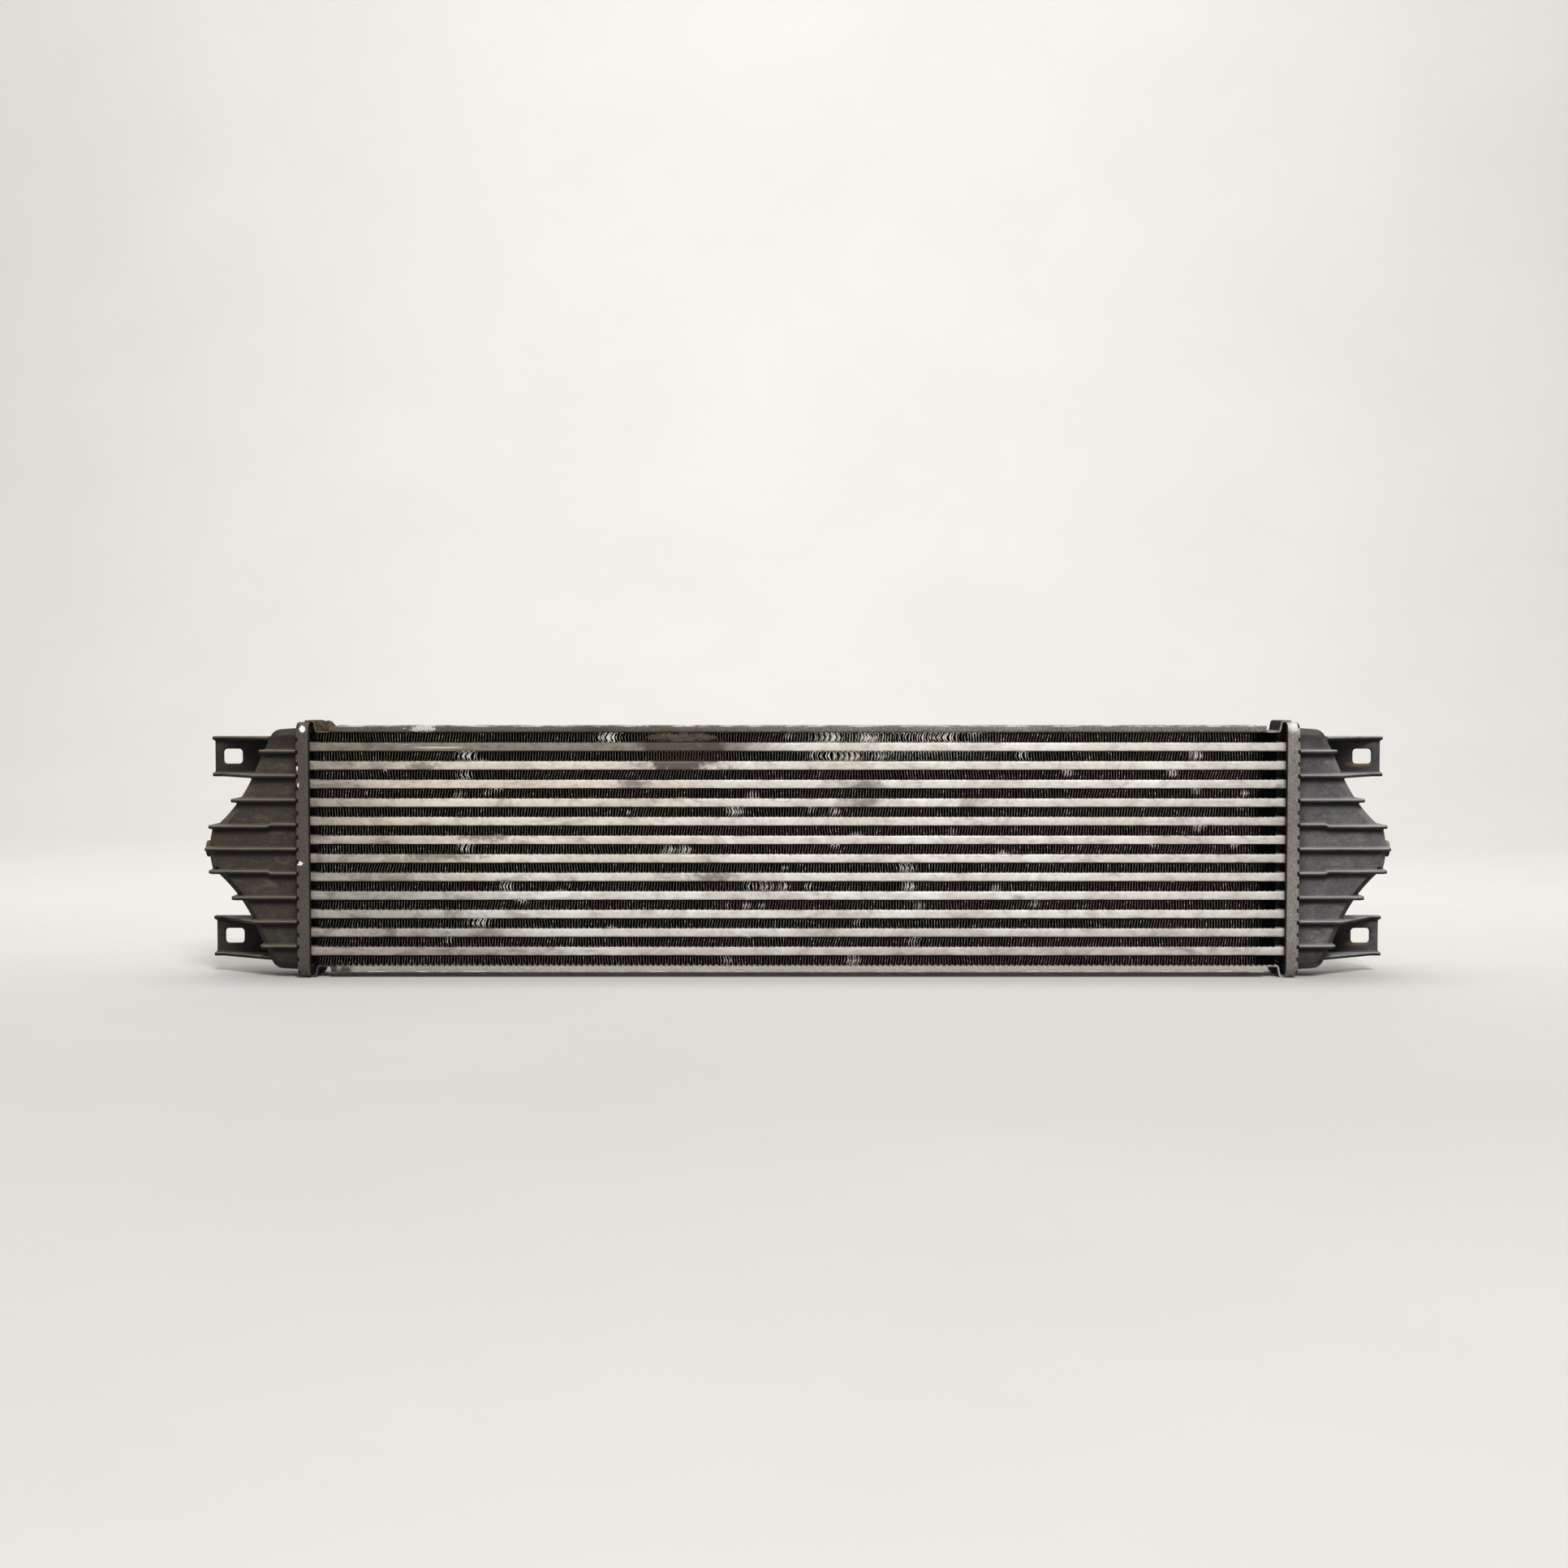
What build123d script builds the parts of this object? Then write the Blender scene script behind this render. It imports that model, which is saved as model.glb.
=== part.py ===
"""Charge-air cooler for a car: a brazed aluminium core of flat tubes and corrugated fins, between two
ribbed end tanks of moulded nylon that are crimped into the headers.

Millimetres. X runs along the tubes, Y from the front face to the rear, Z up. The cooler stands on the
hooks of its lower side plate, and every sketch lies on a plane through the centre of the core.
"""

import os
from math import atan2, cos

from build123d import *

# ---- core ----
core_length = 620.0  # between the faces of the two headers
core_depth = 32.0  # front to back
tube_count = 12
tube_height = 5.8
tube_wall = 0.5
tube_nose = 1.9  # bevel that rounds the tube's noses
fin_height = 6.05  # a fin strip fills the gap between two tubes
fin_waves = 18
fin_gauge = 0.35
fin_end_gap = 6.0  # bare tube between the last fin and the header
turbulator_waves = 3
turbulator_gauge = 0.3

# ---- side plates ----
plate_sheet = 1.2
plate_flange = 4.4  # channel height, web included
plate_flange_end_gap = 11.8  # the flanges stop this far short of the header
plate_joggle_gap = 3.2  # the joggle stands this far off the header
plate_joggle_run = 1.2  # length over which the joggle leans
plate_hook = 3.4  # lap of the hook over the header's end wall

# ---- headers ----
header_side = 7.0  # header past the core, front and rear
header_end = 6.7  # header past the stack, top and bottom
header_corner = 8.0
header_sheet = 1.3
header_rim = 7.6  # height of the rim above the header's face
plateau_rise = 1.6  # the slotted middle stands this much above the gutter
plateau_corner = 2.4
gutter_width = 3.6
crimp_lip = 3.2  # width of the lip, rim wall included
crimp_sheet = 1.2
crimp_pitch = 7.75
crimp_notch = 2.6
crimp_notch_reach = 1.9  # from the rim's outer face into the lip
tube_reach = 2.0  # tube end past the slotted middle

# ---- gaskets ----
gasket_thickness = 1.8
gasket_width = 2.6
gasket_corner = 4.2

# ---- end tanks ----
foot_clearance = 0.1
tube_room = 0.8  # free space round the tube ends
tank_gap = 1.6  # between the tank's front and the crimp lip
tank_end_gap = 0.3  # between the tank's ends and the crimp lip
tank_wall = 2.8
tank_shoulder_x = 16.0  # where the top turns down into the flank
tank_shoulder_drop = 1.2
tank_shoulder_round = 8.0
tank_flank_x, tank_flank_z = 29.4, 46.5  # end of the flank's straight part
tank_reach = 57.2  # from the rim to the end of the nose
tank_nose_bow = 1.7  # the nose bows out by this much
tank_nose_z = 12.6  # half height of the nose
tank_edge = 4.0  # bevel of the front and rear edges
boss_radius = 5.3
boss_y = -9.0
boss_length = 2.7  # past the nose

# ---- ribs round the tanks, their ends measured from the header's rim ----
rib_gap = 0.3  # between the ribs and the rim
rib_thickness = 2.5
rib_proud = 3.6
rib_pitch = 15.5
rib_corner = 3.0
rib_step_x = 17.0  # the ribs beside the middle one step inwards here
rib_step = 1.2
rib_step_run = 2.0
middle_rib_lap = 2.3  # past the nose
second_rib_inset = 0.2  # ends this far short of the nose
third_rib_end = 42.6
short_rib_end = 24.6

# ---- mounting lugs ----
lug_hole_x = 48.8
lug_hole_width, lug_hole_height = 12.4, 9.6
lug_hole_corner = 2.2
lug_plate = 3.5
lug_plate_end = 60.3
lug_plate_inset = 1.2  # the plate's rear lies this far inside the tank's
lug_rib_end = 61.7
lug_outer_rib_drop = 7.1  # the outer rib lies this far in from the tank's end
lug_lean_x = 28.0  # the inner rib leans back from here
lug_outer_lean_x = 18.0
lug_outer_lean_inset = 5.7  # the outer rib starts this far behind the tank's front
lug_lean_end = 55.6
lug_rib_lip = 1.5  # rib height over the plate past the lean

# ---- hose necks ----
neck_x = 27.5
neck_radius = 25.5
neck_wall = 3.0
neck_length = 37.5  # from the tank's rear
neck_nose = 20.0  # plain end that a hose coupling slides over
neck_root_radius = 27.2

# ---- places worked out from the sizes ----
tube_pitch = tube_height + fin_height
stack_height = tube_count * tube_pitch + fin_height
header_height = stack_height + 2 * header_end
header_depth = core_depth + 2 * header_side
face_x = core_length / 2
gutter_x = face_x + header_sheet
plateau_x = gutter_x + plateau_rise
rim_x = face_x + header_rim
foot_x = gutter_x + gasket_thickness
foot_top_x = rim_x - crimp_sheet
tube_end_x = plateau_x + tube_reach
tank_half_height = header_height / 2 - crimp_lip - tank_end_gap
tank_half_depth = header_depth / 2 - crimp_lip - tank_gap
tank_nose_x = tank_reach - tank_nose_bow
rib_half_depth = tank_half_depth + rib_proud
lug_inner_rib_z = 3 * rib_pitch
lug_outer_rib_z = tank_half_height - lug_outer_rib_drop
lug_back_y = tank_half_depth - lug_plate_inset
lug_plate_y = lug_back_y - lug_plate
neck_end_y = tank_half_depth + neck_length
hook_z = header_height / 2

# ---- planes through the centre of the core ----
centre = (0, (header_depth / 2 - neck_end_y) / 2, hook_z + plate_sheet)
front = Plane(origin=centre, x_dir=(1, 0, 0), z_dir=(0, -1, 0))
end = Plane(origin=centre, x_dir=(0, 1, 0), z_dir=(1, 0, 0))
flat = Plane(origin=centre, x_dir=(1, 0, 0), z_dir=(0, 0, 1))


def corrugated(waves, length, height, gauge):
    """Closed outline of a corrugated strip about the origin, as points along and up."""
    half_wave = length / (2 * waves)
    upright = gauge / cos(atan2(height, half_wave))  # the sheet measured straight up
    crest = (height - upright) / 2
    middle = [(i * half_wave - length / 2, crest if i % 2 else -crest) for i in range(2 * waves + 1)]
    top = [(along, up + upright / 2) for along, up in middle]
    bottom = [(along, up - upright / 2) for along, up in middle]
    return top + bottom[::-1]


def row_z(row, rows):
    """Height of a row of tubes or fins over the centre of the core, counted from the top."""
    return ((rows - 1) / 2 - row) * tube_pitch


def save(piece, name):
    """Labels a finished piece and writes it as one node."""
    piece.part.label = name
    export_step(piece.part, f"parts/{name}.step")


def save_pair(piece, name, near, far, about):
    """Writes a piece, and its mirror image on the other side of the core."""
    with BuildPart() as twin:
        mirror(piece.part, about=about)
    save(piece, f"{name}_{near}")
    save(twin, f"{name}_{far}")


def draw_tube():
    """A tube's outer section about the origin, its noses bevelled."""
    with BuildSketch() as section:
        Rectangle(core_depth, tube_height)
        chamfer(section.vertices(), tube_nose)
    return section.sketch


def make_tube(z):
    """A flat tube with narrowed noses."""
    with BuildPart() as tube:
        with BuildSketch(end):
            with Locations((0, z)):
                add(draw_tube())
            offset(amount=-tube_wall, mode=Mode.SUBTRACT)
        extrude(amount=tube_end_x, both=True)
    return tube


def make_turbulator(z):
    """The corrugated strip brazed inside a tube, its folds along the tube."""
    points = corrugated(
        turbulator_waves, core_depth - 2 * (tube_nose + tube_wall), tube_height - 2 * tube_wall, turbulator_gauge
    )
    with BuildPart() as turbulator:
        with BuildSketch(end):
            with BuildLine():
                Polyline([(y, z + up) for y, up in points], close=True)
            make_face()
        extrude(amount=tube_end_x, both=True)
    return turbulator


def make_fin_strip(z):
    """The corrugated strip brazed between two tubes, its folds along the air's way."""
    points = corrugated(fin_waves, core_length - 2 * fin_end_gap, fin_height, fin_gauge)
    with BuildPart() as fin_strip:
        with BuildSketch(front):
            with BuildLine():
                Polyline([(x, z + up) for x, up in points], close=True)
            make_face()
        extrude(amount=core_depth / 2, both=True)
    return fin_strip


def make_side_plate():
    """The channel on top of the stack. Past its flanges the web steps up and hooks over the headers."""
    web_z = stack_height / 2
    flange_x = face_x - plate_flange_end_gap
    step_x = face_x - plate_joggle_gap
    hook_x = face_x + plate_hook
    lower = [(0, web_z), (step_x, web_z), (step_x + plate_joggle_run, hook_z), (hook_x, hook_z)]
    upper = [(0, web_z + plate_sheet), (step_x - plate_sheet, web_z + plate_sheet)]
    upper += [(step_x - plate_sheet + plate_joggle_run, hook_z + plate_sheet), (hook_x, hook_z + plate_sheet)]
    with BuildPart() as side_plate:
        with BuildSketch(front):
            with BuildLine():
                Polyline(lower + upper[::-1], close=True)
            make_face()
            mirror(about=Plane.YZ)
        extrude(amount=core_depth / 2, both=True)
        with BuildSketch(flat.offset(web_z)):
            with Locations((0, (core_depth - plate_sheet) / 2), (0, (plate_sheet - core_depth) / 2)):
                Rectangle(2 * flange_x, plate_sheet)
        extrude(amount=plate_flange)
    return side_plate


def header_section(inset):
    """The header's rounded outline in the current sketch, drawn in by an inset."""
    return RectangleRounded(header_depth - 2 * inset, header_height - 2 * inset, header_corner - inset)


def make_header():
    """The pressed tube plate: slotted middle, gutter for the gasket, rim and notched crimp lip."""
    plateau_inset = header_sheet + gutter_width
    notches = int((header_height / 2 - header_corner) / crimp_pitch)
    notch_rows = [row * crimp_pitch for row in range(-notches, notches + 1)]
    with BuildPart() as header:
        with BuildSketch(end.offset(face_x)):
            header_section(0)
        extrude(amount=header_rim)
        with BuildSketch(end.offset(gutter_x)):
            header_section(header_sheet)
        extrude(amount=foot_top_x - gutter_x, mode=Mode.SUBTRACT)
        with BuildSketch(end.offset(foot_top_x)):
            header_section(crimp_lip)
        extrude(amount=crimp_sheet, mode=Mode.SUBTRACT)
        with BuildSketch(end.offset(gutter_x)):
            plateau = Rectangle(header_depth - 2 * plateau_inset, header_height - 2 * plateau_inset)
            chamfer(plateau.vertices(), plateau_corner)
        extrude(amount=plateau_rise)
        recess_inset = plateau_inset + header_sheet
        with BuildSketch(end.offset(face_x)):
            Rectangle(header_depth - 2 * recess_inset, header_height - 2 * recess_inset)
        extrude(amount=plateau_rise, mode=Mode.SUBTRACT)
        with BuildSketch(end.offset(face_x)):
            with Locations([(0, row_z(row, tube_count)) for row in range(tube_count)]):
                add(draw_tube())
        extrude(amount=header_rim, mode=Mode.SUBTRACT)
        with BuildSketch(end.offset(rim_x)):
            with Locations([(side * header_depth / 2, z) for side in (-1, 1) for z in notch_rows]):
                Rectangle(2 * crimp_notch_reach, crimp_notch)
        extrude(amount=-crimp_sheet, mode=Mode.SUBTRACT)
    return header


def make_gasket():
    """The rubber ring in the header's gutter, under the tank's foot."""
    inset = header_sheet + (gutter_width - gasket_width) / 2
    with BuildPart() as gasket:
        with BuildSketch(end.offset(gutter_x)):
            ring = Rectangle(header_depth - 2 * inset, header_height - 2 * inset)
            chamfer(ring.vertices(), gasket_corner)
            offset(amount=-gasket_width, mode=Mode.SUBTRACT)
        extrude(amount=gasket_thickness)
    return gasket


def draw_tank(start_x, inset=0.0):
    """The tank's front outline in the current sketch, from its open side and drawn in by an inset."""
    with BuildLine() as line:
        top = Polyline(
            (start_x, 0),
            (start_x, tank_half_height),
            (rim_x + tank_shoulder_x, tank_half_height - tank_shoulder_drop),
            (rim_x + tank_flank_x, tank_flank_z),
        )
        nose = (rim_x + tank_nose_x, tank_nose_z)
        flank = TangentArc(top @ 1, nose, tangent=top % 1)
        ThreePointArc(nose, (rim_x + tank_reach, 0), (rim_x + tank_nose_x, -tank_nose_z))
        mirror(top, about=Plane.XZ)
        mirror(flank, about=Plane.XZ)
    make_face(line.edges())


def round_shoulders(sketch):
    """Rounds the two corners where the tank's ends turn down into its flanks."""
    height = tank_half_height - tank_shoulder_drop
    fillet([corner for corner in sketch.vertices() if abs(abs(corner.Y) - height) < 0.001], tank_shoulder_round)


def long_edges(body):
    """The edges of a tank's front and rear faces, without those on its open side."""
    faces = body.faces().filter_by(Axis.Y)
    return [edge for face in faces for edge in face.edges() if edge.center().X > foot_x + 1]


def make_cavity():
    """The hollow of a tank, with the hose neck's bore and room for the tube ends."""
    rows_height = stack_height - 2 * fin_height
    with BuildPart() as cavity:
        with BuildSketch(front) as outline:
            draw_tank(foot_x - tank_wall)
            round_shoulders(outline)
            offset(amount=-tank_wall, kind=Kind.INTERSECTION, mode=Mode.REPLACE)
        extrude(amount=tank_half_depth - tank_wall, both=True)
        with BuildSketch(end.offset(foot_x)):
            RectangleRounded(core_depth + 2 * tube_room, rows_height + 2 * tube_room, tube_height / 2)
        extrude(amount=tube_end_x - foot_x + tube_room)
        with BuildSketch(front):
            with Locations((rim_x + neck_x, 0)):
                Circle(neck_radius - neck_wall)
        extrude(amount=-neck_end_y)
    return cavity


def make_ribs():
    """The ribs round a tank. The two beside the middle one step inwards."""
    start_x = rim_x + rib_gap
    step_x = rim_x + rib_step_x
    step_end_x = step_x + rib_step_run
    second_end_x = rim_x + tank_reach - second_rib_inset
    straight_ribs = ((0, tank_reach + middle_rib_lap), (2, third_rib_end), (3, lug_lean_x), (4, short_rib_end))
    with BuildPart() as ribs:
        with BuildSketch(front):
            for row, rib_end in straight_ribs:
                for side in (1, -1):
                    with Locations((start_x, side * row * rib_pitch)):
                        Rectangle(rim_x + rib_end - start_x, rib_thickness, align=(Align.MIN, Align.CENTER))
            lower = [(start_x, rib_pitch), (step_x, rib_pitch), (step_end_x, rib_pitch - rib_step)]
            lower += [(second_end_x, rib_pitch - rib_step)]
            low = [(x, z - rib_thickness / 2) for x, z in lower]
            high = [(x, z + rib_thickness / 2) for x, z in lower]
            for side in (1, -1):
                with BuildLine():
                    Polyline([(x, side * z) for x, z in low + high[::-1]], close=True)
                make_face()
        extrude(amount=rib_half_depth, both=True)
        outer = [edge for edge in ribs.edges().filter_by(Axis.Z) if edge.center().X > start_x + rib_gap]
        chamfer(outer, rib_corner)
    return ribs


def draw_lug_rib(root_x, lean_x, lean_y):
    """Side view of a lug's rib in the current sketch: it leans back from the tank to the lug's plate."""
    lip_y = lug_plate_y - lug_rib_lip
    with BuildLine() as line:
        Polyline(
            (root_x, lean_y),
            (lean_x, lean_y),
            (rim_x + lug_lean_end, lip_y),
            (rim_x + lug_rib_end, lip_y),
            (rim_x + lug_rib_end, lug_back_y),
            (root_x, lug_back_y),
            close=True,
        )
    make_face(line.edges())


def make_lug():
    """The upper mounting lug: a plate with a rectangular hole between two ribs."""
    hole_z = (lug_inner_rib_z + lug_outer_rib_z) / 2
    height = lug_outer_rib_z - lug_inner_rib_z
    with BuildPart() as lug:
        with BuildSketch(front.offset(-lug_plate_y)):
            with Locations((rim_x + lug_outer_lean_x, hole_z)):
                Rectangle(lug_plate_end - lug_outer_lean_x, height, align=(Align.MIN, Align.CENTER))
        extrude(amount=-lug_plate)
        with BuildSketch(flat.offset(lug_inner_rib_z)):
            draw_lug_rib(rim_x + rib_gap, rim_x + lug_lean_x, -rib_half_depth)
        extrude(amount=rib_thickness / 2, both=True)
        with BuildSketch(flat.offset(lug_outer_rib_z)):
            draw_lug_rib(
                rim_x + tank_shoulder_x - tank_wall, rim_x + lug_outer_lean_x, lug_outer_lean_inset - tank_half_depth
            )
        extrude(amount=rib_thickness / 2, both=True)
        with BuildSketch(front):
            with Locations((rim_x + lug_hole_x, hole_z)):
                RectangleRounded(lug_hole_width, lug_hole_height, lug_hole_corner)
        extrude(amount=-lug_back_y, mode=Mode.SUBTRACT)
    return lug


def make_tank(cavity, ribs, lug):
    """The moulded end tank: body, crimped foot, ribs, lugs and the hose neck at the rear."""
    foot_inset = header_sheet + foot_clearance
    with BuildPart() as tank:
        with BuildSketch(front) as outline:
            draw_tank(foot_x)
            round_shoulders(outline)
        extrude(amount=tank_half_depth, both=True)
        chamfer(long_edges(tank), tank_edge)
        with BuildSketch(end.offset(foot_x)):
            header_section(foot_inset)
        extrude(amount=foot_top_x - foot_x)
        with BuildSketch(end.offset(rim_x + tank_nose_x)):
            with Locations((boss_y, 0)):
                Circle(boss_radius)
        extrude(amount=tank_nose_bow + boss_length)
        add(ribs.part)
        add(lug.part)
        mirror(lug.part, about=flat)
        with BuildSketch(front.offset(tank_wall - tank_half_depth)):
            with Locations((rim_x + neck_x, 0)):
                Circle(neck_radius)
        extrude(amount=-neck_length - tank_wall)
        with BuildSketch(front.offset(tank_wall - tank_half_depth)):
            with Locations((rim_x + neck_x, 0)):
                Circle(neck_root_radius)
        extrude(amount=neck_nose - neck_length - tank_wall)
        add(cavity.part, mode=Mode.SUBTRACT)
    return tank


os.makedirs("parts", exist_ok=True)

for row in range(tube_count):
    save(make_tube(row_z(row, tube_count)), f"tube_{row + 1:02d}")
    save(make_turbulator(row_z(row, tube_count)), f"turbulator_{row + 1:02d}")
for row in range(tube_count + 1):
    save(make_fin_strip(row_z(row, tube_count + 1)), f"fin_strip_{row + 1:02d}")

save_pair(make_side_plate(), "side_plate", "top", "bottom", flat)
save_pair(make_header(), "header", "right", "left", Plane.YZ)
save_pair(make_gasket(), "gasket", "right", "left", Plane.YZ)
save_pair(make_tank(make_cavity(), make_ribs(), make_lug()), "tank", "right", "left", Plane.YZ)
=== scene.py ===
"""The looks of the charge-air cooler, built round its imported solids."""

import random
from math import cos, pi, radians, sin

import bpy
import numpy as np
from mathutils import Matrix, Vector, noise
from mathutils.bvhtree import BVHTree


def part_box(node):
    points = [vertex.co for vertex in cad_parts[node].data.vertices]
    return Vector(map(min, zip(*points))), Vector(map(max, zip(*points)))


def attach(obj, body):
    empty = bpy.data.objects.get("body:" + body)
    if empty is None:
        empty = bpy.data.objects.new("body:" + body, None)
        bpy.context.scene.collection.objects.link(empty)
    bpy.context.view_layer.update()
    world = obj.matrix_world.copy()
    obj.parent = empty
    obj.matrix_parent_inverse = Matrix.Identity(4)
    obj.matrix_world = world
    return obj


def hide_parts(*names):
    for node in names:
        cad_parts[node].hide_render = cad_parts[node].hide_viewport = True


MM = 0.001

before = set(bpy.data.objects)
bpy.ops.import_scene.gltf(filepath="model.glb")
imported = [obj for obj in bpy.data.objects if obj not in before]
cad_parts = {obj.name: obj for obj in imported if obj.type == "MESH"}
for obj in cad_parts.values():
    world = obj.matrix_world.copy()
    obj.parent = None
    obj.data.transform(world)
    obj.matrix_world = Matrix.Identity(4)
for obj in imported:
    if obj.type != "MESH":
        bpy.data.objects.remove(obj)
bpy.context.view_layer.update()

# ---- places taken from the imported parts ----
TUBES = sorted(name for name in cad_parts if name.startswith("tube_"))
FIN_STRIPS = sorted(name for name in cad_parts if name.startswith("fin_strip_"))
TURBULATORS = sorted(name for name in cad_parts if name.startswith("turbulator_"))
CORE_LOW, CORE_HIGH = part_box("fin_strip_01")
CORE_HALF_DEPTH = (CORE_HIGH.y - CORE_LOW.y) / 2
HEADER_LOW, HEADER_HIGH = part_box("header_right")
MIDDLE = Vector((0, (CORE_LOW.y + CORE_HIGH.y) / 2, (HEADER_LOW.z + HEADER_HIGH.z) / 2))
FACE_X = HEADER_LOW.x  # the header's face on the core's side
RIM_X = HEADER_HIGH.x  # the header's rim round the tank
STACK_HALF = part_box("side_plate_top")[0].z - MIDDLE.z  # from the middle to the side plates
TUBE_HALF = (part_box("tube_01")[1].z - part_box("tube_01")[0].z) / 2
TUBE_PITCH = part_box("tube_01")[0].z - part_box("tube_02")[0].z

# ---- tubes ----
TUBE_WALL = 0.5 * MM
TUBE_NOSE = 1.5 * MM
NOSE_OUT, NOSE_UP = 0.55, 0.5  # powers under 1 fill the noses out, past a half round
TUBE_STATIONS = 90  # sections along a tube
TUBE_QUIET = 12 * MM  # the tubes run straight again over this length before the header
TUBE_WAVE, TUBE_WAVE_RATE = 0.10 * MM, 26  # how far a tube rises and falls, and how often in a metre
TUBE_PRESS, TUBE_PRESS_RATE = 0.16 * MM, 70  # the same for the shallow dents of its front
TUBE_FRONT = -11 * MM  # only what lies before this is pressed in

# ---- fins ----
FIN_PITCH = 3.5 * MM  # one whole wave
FIN_SHEET = 0.3 * MM
FIN_CREST = 0.45 * MM  # height of the turn between a leg and its crest
TURN_IN, TURN_ON = 0.15, 0.7  # the turn's reach before and past the leg's end, in its heights
FIN_WEAVE = 0.95 * MM  # the legs swing this far to each side on their way to the rear
FIN_WEAVE_RUN = 8.0 * MM
FIN_LEAN = 0.42 * MM  # the crests sit about this far to one side, so the legs lean
LEAN_MEAN, LEAN_DRIFT, LEAN_RATE = 0.4, 2.2, 24  # of that lean, the rate in drifts a metre
FIN_UNEVEN = 0.14  # each end of a leg is out of place by up to this, in mm
FIN_GAP = 1.5 * MM  # between a strip and the headers
FIN_FRONT = 0.9 * MM  # the strips have one more section this far behind the front
DENT = 7 * MM  # half the length of a dent of size 1
DENT_FLAT = 0.7  # its height over its length
DENT_EDGE = 1.3  # a dent fades out this far from its middle, in radii
DENT_DEPTH = 2.6 * MM  # a blow reaches this far in from the front
PUSH, SMALL_PUSH = 1.5, 1.4  # mm sideways in a dent of size 1, and at most in a small one
CRUMPLE_RATES = (2900, 1130)  # radians a metre of the two waves that bend neighbouring legs apart

# ---- side plates ----
PLATE_SHEET = 1.2 * MM
PLATE_FLANGE = 4.4 * MM
PLATE_FLANGE_END = 11.8 * MM  # the flanges stop this far short of the header
PLATE_FLANGE_FADE = 0.5 * MM  # and fall to nothing over this length
PLATE_FOLD = 0.9 * MM  # the fold between web and flange
PLATE_BEND = 1.6 * MM  # inner radius of the joggle's bends
PLATE_STEP = 3.0 * MM  # the joggle's upright stands this far off the header
PLATE_SLANT = 0.6 * MM  # half of what the upright leans
PLATE_TURN_IN = 0.3 * MM  # a flange's foot moves inwards by this where it ends
PLATE_CELLS = 58  # of the straight part, on each side of the middle
PLATE_DENT, PLATE_DENT_RATE = 0.25 * MM, 55  # how far the flanges' edges wander, and how often in a metre
PLATE_EDGE_Z = STACK_HALF + PLATE_FLANGE  # height of the flanges' edges over the middle

# ---- tanks ----
TANK_GRAIN = 0.6 * MM  # spacing of the eased tank mesh
TANK_FACES = 120_000
OVERHEAD_SHADE_REACH = 30 * MM  # how far off a rib or a flange still casts painted shade from above
RIB_MOST = 2.68 * MM  # anything thinner than this, top to bottom, is a rib or a flange
RIB_CORE = 0.35 * MM  # a rib's thickness is felt from this far under its surface
RAY_CLEAR = 0.3 * MM  # and what hangs over a place from this far off it
LEE_DROP = 1.8 * MM  # the painted shade under a rib reaches this far down
LEE_TOP, CROWN_FOOT = 0.72, 0.55  # where the painted shade ends and the painted highlight starts, as shares of a rib's thickness
MARK_FADE = 0.25  # both fade over this share
END_WALL = 8 * MM  # what lies this near to the header's ends isn't marked
WELD = ("WELD", {"merge_threshold": 0.001 * MM})  # a modifier: its kind and its settings

# ---- mud ----
MUD_STATIONS, MUD_AROUND = 70, 22
MUD_LUMPS, MUD_LUMP_RATE = 0.45, 260  # share of the radius, and how many in a metre
MUD_MOST = 1.15  # no lump is higher than this, in radii
MUD_JITTER, MUD_JITTER_RATE = 0.5 * MM, 900

# ---- marks of wear, and one painted highlight, in mm from the middle of the front ----
THROUGH = 40  # a patch of this radius goes through the core from front to rear
MUD_AT = (-74, 63)  # the middle of the stain round the clod in the top row
TOP_ROW_MUD = (-97, -51)  # from where to where that clod reaches
JOGGLE_MUD = (-309, -294)  # and the one in the upper left joggle
STAINS = (  # on the tubes: x, z and the radii
    (-239, 52, 9, 4),
    (-200, 8.5, 16, 3),
    (-228, -4, 22, 3),
    (-104, 41.5, 8, 5),
    (42, 36, 13, 9),
    (-55, -18, 12, 5),
)
STRUCK = (  # bent fins: x, z and the size in dents
    (-211, 60, 1.3), (-213, 47, 1.0), (-217, 35, 0.7), (-198, 36, 0.5), (-212, 2, 1.0), (-187, -24, 1.0),
    (-177, -32, 0.8), (-204, -45, 1.4), (-223, -58, 0.5), (-275, 36, 0.4), (-120, 71, 1.6), (-41, 25, 1.1),
    (-84, -1, 0.9), (-74, -1, 0.9), (18, 71, 1.5), (30, 59, 1.5), (43, 70, 1.3), (52, 60, 0.8), (66, 72, 0.9),
    (84, 71, 1.4), (96, 71, 1.2), (8, 25, 0.6), (22, 24, 0.7), (251, 60, 0.9), (237, 49, 0.7), (252, 37, 0.6),
    (283, 36, 0.5), (255, 14, 0.8), (277, 2, 0.5), (170, 49, 0.7), (142, 60, 0.8), (150, -35, 0.6),
    (-33, -24, 0.8), (-22, -24, 1.0), (-11, -24, 0.8), (6, -24, 0.6), (-45, -36, 0.5), (-34, -36, 0.6),
    (-24, -36, 0.5), (68, -12, 1.0), (69, -24, 0.9), (76, -36, 0.7), (74, -59, 0.8), (38, -47, 0.6),
    (-46, -71, 0.7), (34, -71, 0.9), (12, 59, 1.0), (20, 59, 0.8),
)
SMALL_DENTS = 26  # more bent fins, scattered at random
CHIPS = (  # on the left header: x inwards from the rim, z and the radii
    (4, 77, (2.0, 3, 2.6)),
    (2, -8.6, (1.8, 3, 1.2)),
    (0.8, 52, (0.45, 2, 1.8)),
    (1.4, 41, (0.4, 2, 1.5)),
)
TOP_HIGHLIGHT = ((3.2, 79, (3.6, 8, 3.0)),)  # the same on the right header: a painted highlight on its top corner
RUST_OUT, RUST_BACK = 46.5, 17  # on the right lugs: outwards from the rim, and behind the middle
RUST_HEIGHTS = (53.4, -63.2)  # under each lug's hole

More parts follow.
